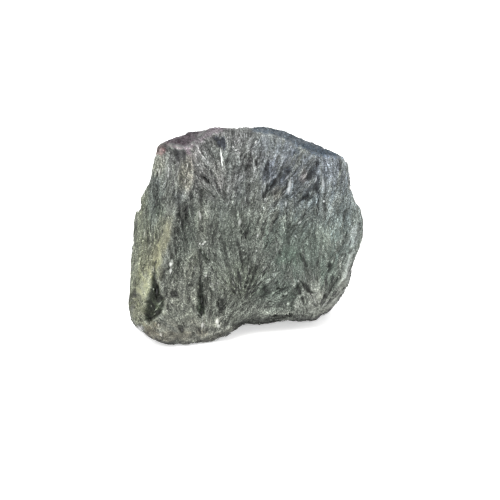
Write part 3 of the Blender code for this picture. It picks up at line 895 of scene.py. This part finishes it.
def leaf_bundles(surface, flow, rng, count, length, width, rise, turn):
    """Covers the skin with leaf-shaped bundles that overlap like shingles.

    For the bundle on top at each point, gives its height there, the place in it (mm along it, mm across
    it, and the bundle's own number), and the grain turned into its direction.
    """
    total = len(surface.points)
    height = np.zeros(total)
    place = np.zeros((total, 3))
    turning = np.zeros(total)
    for number in range(count):
        middle = rng.integers(total)
        reach = rng.uniform(*length) * MM
        half = rng.uniform(*width) * MM / 2
        angle = radians(rng.normal(0, turn))
        normal = surface.normals[middle]
        ahead = flow[middle] * cos(angle) + np.cross(normal, flow[middle]) * sin(angle)
        near = surface.near(middle, reach * 0.52)
        offset = surface.points[near] - surface.points[middle]
        along = offset @ ahead / reach + 0.5
        across = offset @ np.cross(normal, ahead) / half
        leaf = np.sin(np.pi * np.clip(along, 0.01, 0.99)) ** LEAF_ENDS
        crown = np.clip(1 - (across / leaf) ** 2, 0, 1)
        level, rising = rng.uniform(*LEAF_LEVEL), rng.uniform(*LEAF_RISING)
        lift = rng.uniform(*rise) * MM * (level + rising * along ** LEAF_BEND * np.sqrt(crown))
        won = (crown > 0) & (along > 0) & (along < 1) & (lift > height[near])
        held = near[won]
        height[held] = lift[won]
        place[held, 0] = along[won] * reach / MM
        place[held, 1] = across[won] * half / MM
        place[held, 2] = number
        turning[held] = angle
    return height, place, turned(flow, surface.normals, turning[:, None])


def within(across, up, spot):
    """1 in the middle of a leaning oval spot, 0 on its edge, and less than 0 outside it."""
    middle_across, middle_up, half_width, half_length, lean = spot
    right, above = across - middle_across, up - middle_up
    lean = radians(lean)
    along = (right * sin(lean) + above * cos(lean)) / half_length
    aside = (right * cos(lean) - above * sin(lean)) / half_width
    return 1 - along ** 2 - aside ** 2


def beside_line(across, up, line):
    """Distance from a line of points, positive on its right, and how far past its ends a point lies."""
    nearest = np.full(len(across), 1e9)
    signed = np.zeros(len(across))
    past = np.zeros(len(across))
    for number, (start, end) in enumerate(zip(line, line[1:])):
        run, climb = end[0] - start[0], end[1] - start[1]
        length = np.hypot(run, climb)
        along = ((across - start[0]) * run + (up - start[1]) * climb) / length
        aside = ((across - start[0]) * climb - (up - start[1]) * run) / length
        held = np.clip(along, 0, length)
        distance = np.hypot(along - held, aside)
        closer = distance < nearest
        nearest = np.where(closer, distance, nearest)
        signed = np.where(closer, np.sign(aside) * distance, signed)
        before = np.maximum(-along, 0) if number == 0 else 0
        beyond = np.maximum(along - length, 0) if number == len(line) - 2 else 0
        past = np.where(closer, before + beyond, past)
    return signed, past


def inside_distance(across, up, outline):
    """Distance in mm from a closed outline, more than 0 inside it and less outside."""
    nearest = np.full(len(across), 1e9)
    inside = np.zeros(len(across), dtype=bool)
    for start, end in zip(outline, outline[1:] + outline[:1]):
        run, climb = end[0] - start[0], end[1] - start[1]
        right, above = across - start[0], up - start[1]
        held = np.clip((right * run + above * climb) / (run ** 2 + climb ** 2), 0, 1)
        nearest = np.minimum(nearest, np.hypot(right - held * run, above - held * climb))
        passes = (start[1] > up) != (end[1] > up)
        inside ^= passes & (right < above * run / (climb or 1))
    return np.where(inside, nearest, -nearest)


def tint(colours, colour, share):
    """Multiplies the colours by this one, in place, as far as each point has a share in it."""
    colours *= 1 + (np.array(colour) - 1) * share[:, None]


class Front:
    """What the eye sees of the skin: where its points lie on the eye's plane, and how much they face it."""

    def __init__(self, surface):
        by_streaks, by_patches = RAGGED
        self.ragged = surface.streaks(*RAGGED_STREAKS) * by_streaks
        self.ragged = self.ragged + surface.patches(*RAGGED_PATCHES) * by_patches
        self.mottled = 0.5 + 0.5 * smooth_step(-0.5, 0.3, surface.patches(*MOTTLES))
        self.look(surface)

    def look(self, surface):
        """Looks at where the points are now."""
        self.across, self.up = seen(surface.points)
        towards = surface.normals @ TO_EYE
        self.facing = smooth_step(*FACING, towards)
        self.turned = smooth_step(*TURNED, towards)
        self.rim = smooth_step(*RIM, towards)
        self.away = smooth_step(*AWAY, towards)

    def share(self, spot, low, high, ragged):
        """How much each point belongs to a ragged oval spot, 0 to 1."""
        inside = within(self.across, self.up, spot)
        return smooth_step(low, high, inside + self.ragged * ragged) * (inside > FURTHEST_OUT) * self.facing

    def crest_relief(self):
        """Height of the named crests."""
        height = np.zeros(len(self.across))
        for line, profile in CRESTS.values():
            distance, past = beside_line(self.across + self.ragged * CREST_STRAY, self.up, line)
            height += np.interp(distance, *zip(*profile)) * np.exp(-(past / CREST_FADING) ** 2)
        return height * self.facing * MM

    def cleft_relief(self):
        """How deep the named clefts cut in, and how much each point belongs to one, 0 to 1, mottled, for the
        painted shade in them.
        """
        depth, dark = np.zeros((2, len(self.across)))
        wide, long = CLEFT_OVAL
        for across, up, length, width, lean, deep in CLEFTS.values():
            share = self.share((across, up, width * wide, length * long, lean), *CLEFT_EDGE)
            depth = np.maximum(depth, deep * MM * share)
            dark = np.maximum(dark, share * self.mottled)
        return depth, dark

    def edge_relief(self):
        """How deep the dents in the outline go."""
        depth = np.zeros(len(self.across))
        for *spot, deep in EDGE_DENTS.values():
            inside = within(self.across, self.up, spot)
            depth += deep * MM * smooth_step(*DENT_EDGE, inside + DENT_STRAY * self.ragged)
        return depth * self.rim

    def covered(self, spots):
        """How much each point belongs to any of these spots, 0 to 1."""
        total = np.zeros(len(self.across))
        for *spot, most in spots.values():
            total = np.maximum(total, most * self.share(spot, *SPOT_EDGE))
        return total

    def outlined(self):
        """How deep, how calm and how much theirs each point is, and colour, from the outlined features."""
        depth, calm, held = np.zeros((3, len(self.across)))
        colours = np.ones((len(self.across), 3))
        for soft, deep, quiet, colour, outline in OUTLINED.values():
            inside = inside_distance(self.across, self.up, outline)
            inside += OUTLINE_STRAY * soft * self.ragged * (1 + FRAYED * self.away)
            share = smooth_step(-soft, soft, inside) * self.turned
            depth += deep * MM * share
            calm = np.maximum(calm, quiet * share)
            held = np.maximum(held, share)
            tint(colours, colour, share)
        return depth, calm, held, colours

    def colours(self):
        """The colour that the stone is multiplied by at each point."""
        colours = np.ones((len(self.across), 3))
        for line, colour, reach, fading in CREST_SIDES.values():
            distance, past = beside_line(self.across, self.up, line)
            drawn = distance + self.ragged * (0.4 + 0.25 * np.abs(distance))
            share = smooth_step(-0.3, 0.5, drawn) * smooth_step(reach, 0.3 * reach, drawn)
            tint(colours, colour, share * np.exp(-(past / fading) ** 2) * self.facing)
        for *spot, colour in ZONES.values():
            tint(colours, colour, self.share(spot, *ZONE_EDGE))
        return colours


def write_attribute(mesh, name, values):
    """Stores one number or one vector per point on the mesh for the material to read."""
    kind, key = ("FLOAT", "value") if values.ndim == 1 else ("FLOAT_VECTOR", "vector")
    packed = np.ascontiguousarray(values, dtype=np.float32).ravel()
    mesh.attributes.new(name, kind, "POINT").data.foreach_set(key, packed)


def set_inputs(shader, values):
    """Sets a shader's own unlinked sockets."""
    for key, value in values.items():
        shader.inputs[key].default_value = value


def node(tree, kind, inputs, **settings):
    """A shader node with its settings, its links and its unlinked input values."""
    made = tree.nodes.new(kind)
    for key, value in settings.items():
        setattr(made, key, value)
    for key, value in inputs.items():
        if hasattr(value, "is_output"):
            tree.links.new(value, made.inputs[key])
        else:
            made.inputs[key].default_value = value
    return made


def maths(tree, operation, first, second, third=0.0, clamp=False):
    """The output of a Math node."""
    inputs = {0: first, 1: second, 2: third}
    return node(tree, "ShaderNodeMath", inputs, operation=operation, use_clamp=clamp).outputs[0]


def vectors(tree, operation, inputs):
    """The output of a Vector Math node."""
    return node(tree, "ShaderNodeVectorMath", inputs, operation=operation).outputs[0]


def attribute(tree, name, output):
    """The output of an Attribute node."""
    return node(tree, "ShaderNodeAttribute", {}, attribute_name=name).outputs[output]


def node_noise(tree, place, scale, detail, **inputs):
    """The output of a Noise Texture node."""
    values = {"Vector": place, "Scale": scale, "Detail": detail, **inputs}
    return node(tree, "ShaderNodeTexNoise", values).outputs["Fac"]


def fibre_noise(tree, place, along, across, detail, seed):
    """Noise drawn out along the fibres: along and across are how often it changes per mm."""
    stretched = vectors(tree, "MULTIPLY", {0: place, 1: (along, across, 3.7)})
    moved = vectors(tree, "ADD", {0: stretched, 1: (seed, seed * 1.7, seed * 0.3)})
    return node_noise(tree, moved, 1.0, detail, Roughness=0.6)


def ramp(tree, value, stops):
    """A colour ramp with these (position, colour) stops."""
    made = node(tree, "ShaderNodeValToRGB", {"Fac": value})
    elements = made.color_ramp.elements
    while len(elements) < len(stops):
        elements.new(0.5)
    for element, (position, colour) in zip(elements, stops):
        element.position = position
        element.color = (*colour, 1)
    return made.outputs["Color"]


# Colours of the fibres from dark to pale, and of the flakes, whose tone makes the bright ones painted glints
# and the dark ones painted shade in gaps.
STREAKED = [
    (0.0, (0.021, 0.024, 0.020)),
    (0.35, (0.063, 0.070, 0.060)),
    (0.62, (0.120, 0.131, 0.114)),
    (1.0, (0.335, 0.357, 0.322)),
]
PEARLY = [
    (0.0, (0.090, 0.094, 0.088)),
    (1.0, (0.165, 0.171, 0.162)),
]


def stone_material(name, stops, roughness, bump_height):
    """Fibrous clinochlore: streaks of dark and pale green-grey along the fibres, with fine grit, times the
    zone colour and the tone, which carry painted shade and painted highlights.
    """
    material = bpy.data.materials.new(name)
    material.use_nodes = True
    tree = material.node_tree
    shader = tree.nodes["Principled BSDF"]
    place = attribute(tree, "grain", "Vector")
    tone = attribute(tree, "tone", "Fac")
    zone = attribute(tree, "zone", "Vector")
    broad = fibre_noise(tree, place, 0.16, 1.1, 3.0, 0.0)
    fine = fibre_noise(tree, place, 0.5, 3.4, 4.0, 5.0)
    position = node(tree, "ShaderNodeTexCoord", {}).outputs["Object"]
    speck = node_noise(tree, position, 1700.0, 3.0, Roughness=0.7)
    mixed = maths(tree, "MULTIPLY_ADD", broad, 0.55, maths(tree, "MULTIPLY", fine, 0.45))
    mixed = maths(tree, "MULTIPLY_ADD", speck, 0.35, mixed)
    grit = node_noise(tree, position, 3600.0, 1.0)
    mixed = maths(tree, "MULTIPLY_ADD", grit, 0.9, mixed)
    value = maths(tree, "SUBTRACT", maths(tree, "MULTIPLY", mixed, 2.2), 1.96, clamp=True)
    calm = maths(tree, "MULTIPLY", attribute(tree, "calm", "Fac"), 0.65)
    value = maths(tree, "MULTIPLY_ADD", maths(tree, "SUBTRACT", 0.45, value), calm, value)
    zoned = vectors(tree, "MULTIPLY", {0: ramp(tree, value, stops), 1: zone})
    tree.links.new(vectors(tree, "SCALE", {0: zoned, "Scale": tone}), shader.inputs["Base Color"])
    rough = maths(tree, "MULTIPLY_ADD", fine, -0.35, roughness + 0.18)
    tree.links.new(rough, shader.inputs["Roughness"])
    set_inputs(shader, {"IOR": 1.58, "Specular IOR Level": 0.3})
    height = maths(tree, "ADD", maths(tree, "MULTIPLY", broad, 0.6), maths(tree, "MULTIPLY", fine, 0.5))
    bump = node(tree, "ShaderNodeBump", {"Height": height, "Strength": 1.0, "Distance": bump_height})
    tree.links.new(bump.outputs["Normal"], shader.inputs["Normal"])
    return material


def lay_piece(name, mesh, material):
    """Adds a mesh to the object as a piece of it."""
    mesh.materials.clear()
    mesh.materials.append(material)
    piece = placed(name, mesh)
    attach(piece, "root")
    return piece


# A splinter: its faces, its corners, and how far it stays above the ground.
SPLINTER_FACES = ((0, 2, 3), (0, 3, 4), (0, 4, 5), (0, 5, 2), (1, 3, 2), (1, 4, 3), (1, 5, 4), (1, 2, 5))
SPLINTER_CORNERS = 6
CLEARANCE = 0.02 * MM


def splinter_mesh(name, middle, ahead, out, half, shift, own, tone, zone):
    """Many small closed splinters as one mesh: lozenges with a point at each end.

    half holds their half length, width and thickness, shift is where along them they are widest, and own is
    each splinter's own place in the material's noise.
    """
    count = len(middle)
    side = np.cross(out, ahead)
    half_length, half_width, half_thick = (column[:, None] for column in half.T)
    waist = middle + ahead * half_length * shift[:, None]
    corners = np.stack((
        middle - ahead * half_length,
        middle + ahead * half_length,
        waist + side * half_width,
        waist + out * half_thick,
        waist - side * half_width,
        waist - out * half_thick,
    ), axis=1)
    corners[..., 2] = np.maximum(corners[..., 2], CLEARANCE)
    first_corners = SPLINTER_CORNERS * np.arange(count)
    faces = (np.array(SPLINTER_FACES)[None] + first_corners[:, None, None]).reshape(-1, 3)
    mesh = bpy.data.meshes.new(name)
    mesh.vertices.add(count * SPLINTER_CORNERS)
    mesh.vertices.foreach_set("co", corners.ravel())
    mesh.loops.add(faces.size)
    mesh.loops.foreach_set("vertex_index", faces.ravel())
    mesh.polygons.add(len(faces))
    mesh.polygons.foreach_set("loop_start", np.arange(0, faces.size, 3))
    mesh.update(calc_edges=True)
    place = np.zeros((count, SPLINTER_CORNERS, 3))
    for corner, axis, sign in ((0, 0, -1), (1, 0, 1), (2, 1, 1), (4, 1, -1)):
        place[:, corner, axis] = sign * half[:, axis] / MM
    place[:, :, 2] = own[:, None]
    write_attribute(mesh, "grain", place)
    write_attribute(mesh, "tone", np.repeat(tone, SPLINTER_CORNERS))
    write_attribute(mesh, "zone", np.repeat(zone, SPLINTER_CORNERS, axis=0))
    return mesh


def scattered_splinters(surface, looks, rng, name, count, size, tilt, turn, bright, varying):
    """Splinters all over the skin, laid along the grain, and any way where the stone is crumbly.

    None is laid across the border of a dark feature, and those on the hidden sides stay close to the skin.
    """
    chosen = rng.integers(0, len(surface.points), count)
    even = (looks["crossing"][chosen] < MOST_CROSSING) & (looks["jump"][chosen] < MOST_SHADE_CHANGE)
    chosen = chosen[even & (surface.points[chosen, 2] > LEAST_HEIGHT * MM)]
    chosen = chosen[rng.random(len(chosen)) > looks["bare"][chosen]]
    count, normal = len(chosen), surface.normals[chosen]
    here = {key: values[chosen] for key, values in looks.items()}
    crumbly, hidden = here["crumbly"], here["hidden"]
    turning = rng.normal(0, turn, count) * (1 + CRUMBLY_TURN * crumbly)
    ahead = turned(here["flow"], normal, np.radians(turning)[:, None])
    roll = rng.normal(0, ROLL, count)[:, None] * (1 - HIDDEN_LESS_ROLL * hidden)[:, None]
    out = normal * np.cos(roll) + np.cross(normal, ahead) * np.sin(roll)
    rising = rng.uniform(*tilt, count) * (1 + crumbly) * (1 - HIDDEN_LESS_TILT * hidden)
    rising = np.radians(rising)[:, None]
    rise, run = np.sin(rising), np.cos(rising)
    ahead, out = ahead * run + out * rise, out * run - ahead * rise
    half = np.stack([rng.uniform(*reach, count) * MM / 2 for reach in size], axis=1)
    shorter = (1 - CRUMBLY_SHORTER * crumbly) * (1 - HELD_SHORTER * here["held"])
    half[:, 0] *= shorter * (1 - BENDING_SHORTER * here["bending"])
    middle = surface.points[chosen] + np.cross(out, ahead) * rng.normal(0, SCATTER * MM, count)[:, None]
    level = np.where(here["crossing"] > DARKENED_FROM, here["darkest"], here["tone"])
    spread = np.clip(rng.normal(0, 1, count), *BRIGHTNESS_LIMITS) * varying * (1 - CRUMBLY_EVENER * crumbly)
    tone = bright * level * np.exp(spread)
    shift, own = rng.uniform(*WIDEST, count), rng.uniform(0, OWN_PLACES, count)
    return splinter_mesh(name, middle, ahead, out, half, shift, own, tone, here["zone"])


def painted_glints(surface, looks, rng):
    """Tiny flakes all over the skin, painted bright as glints."""
    chosen = rng.integers(0, len(surface.points), SPARKLES)
    normal, flow = surface.normals[chosen], looks["flow"][chosen]
    ahead = turned(flow, normal, np.radians(rng.normal(0, SPARKLE_TURN, SPARKLES))[:, None])
    half = rng.uniform(SPARKLE_SMALLEST, SPARKLE_LARGEST, (SPARKLES, 3)) * MM / 2
    middle = surface.points[chosen] + normal * SPARKLE_LIFT * MM
    tone, own = rng.uniform(*SPARKLE_BRIGHTNESS, SPARKLES), rng.uniform(0, OWN_PLACES, SPARKLES)
    shift = rng.uniform(-0.3, 0.3, SPARKLES)
    zone = looks["zone"][chosen] ** 0.7
    return splinter_mesh("painted_glints", middle, ahead, normal, half, shift, own, tone, zone)


def rays(across_seen, up_seen, rng):
    """The thin lines in the fans, as rows like those of FLAKES, where they lie well inside the outline."""
    rows = []
    dark, pale = RAY_BRIGHTNESS
    for name, (count, distance, half) in RAYS.items():
        across, up, lean = FRONT_FANS[name][:3]
        for _ in range(count):
            angle = lean + rng.uniform(-half, half)
            away = rng.uniform(*distance)
            way = np.array((sin(radians(angle)), cos(radians(angle))))
            middle = (across, up) + away * way
            brightness = dark if rng.random() < DARK_RAYS else pale
            size = rng.uniform(*RAY_LENGTH), rng.uniform(*RAY_WIDTH)
            row = (*middle, *size, angle + rng.normal(0, RAY_TURN), brightness)
            ends = [middle + way * margin for margin in (-RAY_MARGIN, RAY_MARGIN)]
            if all(np.hypot(across_seen - end[0], up_seen - end[1]).min() < RAY_NEARNESS for end in ends):
                rows.append(row)
    return rows


def named_flakes(surface, looks, rng):
    """The flakes and needles painted bright as glints, and the slivers painted dark as the shade in gaps,
    that the eye picks out, each at its own place, and the fans' lines.

    Each is rooted in the mean plane of the skin around it, so none stands clear of the stone.
    """
    across, up = seen(surface.points)
    visible = np.flatnonzero(surface.normals @ TO_EYE > 0.05)
    rows = {"middle": [], "ahead": [], "out": [], "half": [], "tone": [], "zone": []}
    (footing, least_footing), (flat_rise, wide_rise) = FLAKE_FOOTING, FLAKE_RISE
    flakes = [*FLAKES.values(), *rays(across[visible], up[visible], rng)]
    for flake_across, flake_up, length, width, lean, brightness in flakes:
        away = np.hypot(across[visible] - flake_across, up[visible] - flake_up)
        index = visible[np.argmin(away)]
        around = surface.near(index, max(footing * length, least_footing) * MM)
        normal = unit(surface.normals[around].mean(axis=0))
        level = ((surface.points[around] - surface.points[index]) @ normal).mean()
        aim = leaning(lean)
        ahead = unit(aim - normal * (aim @ normal))
        out = unit(normal + np.cross(normal, ahead) * rng.normal(0, FLAKE_ROLL))
        rise = (flat_rise + wide_rise * min(width, 1.0)) * MM
        rows["middle"].append(surface.points[index] + normal * level + out * rise)
        rows["ahead"].append(ahead)
        rows["out"].append(unit(out - ahead * (out @ ahead)))
        rows["half"].append(np.array((length * MM / 2, width * MM / 2, rise + FLAKE_SUNK * MM)))
        rows["tone"].append(brightness)
        rows["zone"].append(looks["zone"][index] ** 0.5)
    arrays = {key: np.array(value) for key, value in rows.items()}
    count = len(flakes)
    shift, own = rng.uniform(*FLAKE_WIDEST, count), rng.uniform(0, OWN_PLACES, count)
    return splinter_mesh("glint_and_gap_shade_flakes", shift=shift, own=own, **arrays)


def own_tone(numbers, seed, spread):
    """A tone around one for each bundle number."""
    return 1 + spread * (lattice(np.floor(numbers * (0, 0, 1)), seed) * 2 - 1)


def fibre_lines(surface):
    """Thin and wide streaks along the fibres, and the grooves where the wide ones are strong."""
    wide = surface.streaks(*WIDE_STREAKS)
    return {"thin": surface.streaks(*THIN_STREAKS), "wide": wide, "groove": smooth_step(*GROOVED, wide)}


def fibrous_relief(surface, bundles, lines, looks):
    """The relief of bundles, streaks and grooves, flatter where the stone is crumbly, calm or edge on."""
    relief = bundles + (lines["thin"] * THIN_RISE - lines["groove"] * GROOVE_DEPTH) * MM
    relief -= surface.blurred(relief, LEVELLING_STEPS)
    kept = (1 - CRUMBLY_LOSS * looks["crumbly"]) * (1 - CALM_LOSS * looks["calm"])
    relief *= kept * (1 - EDGE_LOSS * looks["edge_on"])
    return relief + looks["crumbly"] * surface.patches(*CRUMBS) * CRUMB_HEIGHT * MM


def skin_tone(surface, heights, plume_place, lines, looks):
    """How bright the skin is: from bundle to bundle, painted shade in hollows, grooves and clefts and on the
    underside, painted highlight on rises, and darker pits.
    """
    tone = own_tone(looks["grain"], 3, FEATHER_TONE) * own_tone(plume_place, 4, PLUME_TONE)
    # Painted shade in hollows and painted highlight on rises, by height against the skin around.
    cavity = heights - surface.blurred(heights, HOLLOW_SHADE_STEPS)
    tone = tone * np.clip(1 + cavity / (HOLLOW_SHADE_DEPTH * MM), *HOLLOW_SHADE_RANGE)
    pits = smooth_step(*PITTED, surface.patches(*PITS) + PITS_IN_STREAKS * lines["wide"])
    # Painted shade in the grooves, darker pits, and thin streaks lighter and darker.
    tone *= (1 - GROOVE_SHADE * lines["groove"]) * (1 - PIT_SHADE * pits) * np.exp(THIN_TONE * lines["thin"])
    grains = surface.patches(*FINE_GRAINS) + surface.patches(*COARSE_GRAINS)
    tone *= TONE * (1 + CRUMB_TONE * looks["crumbly"] * grains)
    # Painted shade in the clefts.
    tone = tone ** (1 - CALM_TONE * looks["calm"]) * (1 - CLEFT_SHADE * looks["in_cleft"])
    # Painted shade on the underside, on skin that faces down.
    return tone * (1 - UNDERSIDE_SHADE * smooth_step(*UNDERSIDE, surface.normals[:, 2]))


def worked_skin(surface, cad, rng):
    """Works the relief into the skin, and gives what the materials and the splinters need to know of it."""
    flow = grain(surface, fans(surface, cad, rng))
    surface.trace_grain(flow)
    front = Front(surface)
    plumes, plume_place, flow = leaf_bundles(surface, flow, rng, *BUNDLES["plumes"])
    feathers, place, flow = leaf_bundles(surface, flow, rng, *BUNDLES["feathers"])
    cleft_depth, in_cleft = front.cleft_relief()
    outlined_depth, outlined_calm, held, _ = front.outlined()
    looks = {
        "flow": flow,
        "grain": place,
        "crumbly": front.covered(CRUMBLY),
        "calm": np.maximum(front.covered(CALM), outlined_calm),
        "edge_on": np.exp(-(surface.normals @ TO_EYE / EDGE_WIDTH) ** 2),
        "in_cleft": in_cleft,
        "held": np.maximum(CLEFT_HOLD * in_cleft, held),
    }
    lines = fibre_lines(surface)
    relief = fibrous_relief(surface, plumes + feathers, lines, looks)
    heights = relief - cleft_depth - outlined_depth - front.edge_relief() + front.crest_relief()
    surface.move(heights)
    front.look(surface)
    looks["tone"] = skin_tone(surface, heights, plume_place, lines, looks)
    looks["zone"] = front.colours() * front.outlined()[3]
    return looks


def note_surroundings(surface, looks):
    """Adds what splinters need: how bare and hidden each point is, and what changes along the grain there."""
    ahead, behind = surface.grain_paths[2], surface.grain_paths[2 + COMB_REACH]
    held, tone, shade = looks["held"], looks["tone"], looks["zone"].mean(axis=1)
    bend = 1 - dot(surface.normals[ahead], surface.normals[behind])
    bareness = {"calm": CALM_BARE, "edge_on": EDGE_BARE, "crumbly": CRUMBLY_BARE}
    looks["bare"] = np.maximum.reduce([most * looks[key] for key, most in bareness.items()])
    looks["crossing"] = np.abs(held[ahead] - held[behind])
    looks["darkest"] = np.minimum(tone, np.minimum(tone[ahead], tone[behind]))
    looks["jump"] = np.abs(np.log(shade[ahead] / shade[behind]))
    looks["hidden"] = smooth_step(*HIDDEN, surface.normals @ TO_EYE)
    looks["bending"] = looks["hidden"] * smooth_step(*BENT, bend)


def make_stone(cad):
    """The whole stone: its skin with the relief of the bundles, and the splinters that stand out of it."""
    rng = np.random.default_rng(SEED)
    surface = Surface(skin_mesh(cad))
    looks = worked_skin(surface, cad, rng)
    note_surroundings(surface, looks)
    for name in ("grain", "tone", "zone", "calm"):
        write_attribute(surface.mesh, name, looks[name])
    surface.mesh.shade_smooth()
    fibrous = stone_material("fibrous_seraphinite", STREAKED, 0.52, 0.12 * MM)
    skin = lay_piece("stone_skin", surface.mesh, fibrous)
    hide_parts(NODE)
    fresh = stone_material("splinter_seraphinite", STREAKED, 0.46, 0.03 * MM)
    pearly = stone_material("pearly_seraphinite", PEARLY, 0.3, 0.02 * MM)
    for name, *numbers in SPLINTERS:
        lay_piece(name, scattered_splinters(surface, looks, rng, name, *numbers), fresh)
    # Bright flakes as painted glints, dark slivers and rays as painted shade in the gaps between fibres.
    lay_piece("glint_and_gap_shade_flakes", named_flakes(surface, looks, rng), pearly)
    # Painted glints: tiny flakes brighter than the skin around them.
    lay_piece("painted_glints", painted_glints(surface, looks, rng), fresh)


def area_light(name, azimuth, elevation, distance, size, power, colour):
    """A square lamp that looks at the stone from this side."""
    lamp = bpy.data.lights.new(name, "AREA")
    lamp.shape = "SQUARE"
    lamp.size = size
    lamp.energy = power
    lamp.color = colour
    way = pointing(azimuth, elevation)
    hung = placed(name, lamp)
    hung.location = TARGET + way * distance
    hung.rotation_euler = Vector(way).to_track_quat("Z", "Y").to_euler()


FLOOR_HALF = 3.0


def make_floor():
    """A pale floor, wide enough to fill the view."""
    half = FLOOR_HALF
    corners = [(-half, -half, 0), (half, -half, 0), (half, half, 0), (-half, half, 0)]
    mesh = bpy.data.meshes.new("floor")
    mesh.from_pydata(corners, [], [(0, 1, 2, 3)])
    floor = placed("floor", mesh)
    paint = bpy.data.materials.new("floor_paint")
    paint.use_nodes = True
    set_inputs(paint.node_tree.nodes["Principled BSDF"], {
        "Base Color": (0.9, 0.9, 0.9, 1),
        "Roughness": 0.9,
        "Specular IOR Level": 0.1,
        "Emission Color": (1, 1, 1, 1),
        "Emission Strength": 0.5,
    })
    mesh.materials.append(paint)


def make_light():
    """Plain soft studio light: white all round, and brighter from the upper left."""
    world = bpy.data.worlds.new("studio")
    world.use_nodes = True
    set_inputs(world.node_tree.nodes["Background"], {"Color": (1, 1, 1, 1), "Strength": 1.5})
    bpy.context.scene.world = world
    area_light("key", -122, 58, 1.2, 0.8, 14, (1, 0.99, 0.97))
    area_light("back", 100, 60, 1.4, 1.0, 5, (1, 1, 1))


def make_camera():
    """The camera at the eye."""
    camera = bpy.data.cameras.new("camera")
    camera.lens = LENS
    camera.sensor_width = SENSOR
    camera.clip_start = 0.01
    held = placed("camera", camera)
    held.location = EYE
    held.rotation_euler = Vector(TO_EYE).to_track_quat("Z", "Y").to_euler()
    bpy.context.scene.camera = held
    bpy.context.scene.view_settings.view_transform = "Standard"


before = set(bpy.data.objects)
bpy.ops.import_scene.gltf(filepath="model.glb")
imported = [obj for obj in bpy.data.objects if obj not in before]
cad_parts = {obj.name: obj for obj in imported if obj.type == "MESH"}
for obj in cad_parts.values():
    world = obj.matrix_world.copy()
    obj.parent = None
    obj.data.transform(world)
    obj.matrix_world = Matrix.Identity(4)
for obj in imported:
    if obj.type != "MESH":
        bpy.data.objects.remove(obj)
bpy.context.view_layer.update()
make_camera()
make_stone(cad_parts[NODE])
make_floor()
make_light()
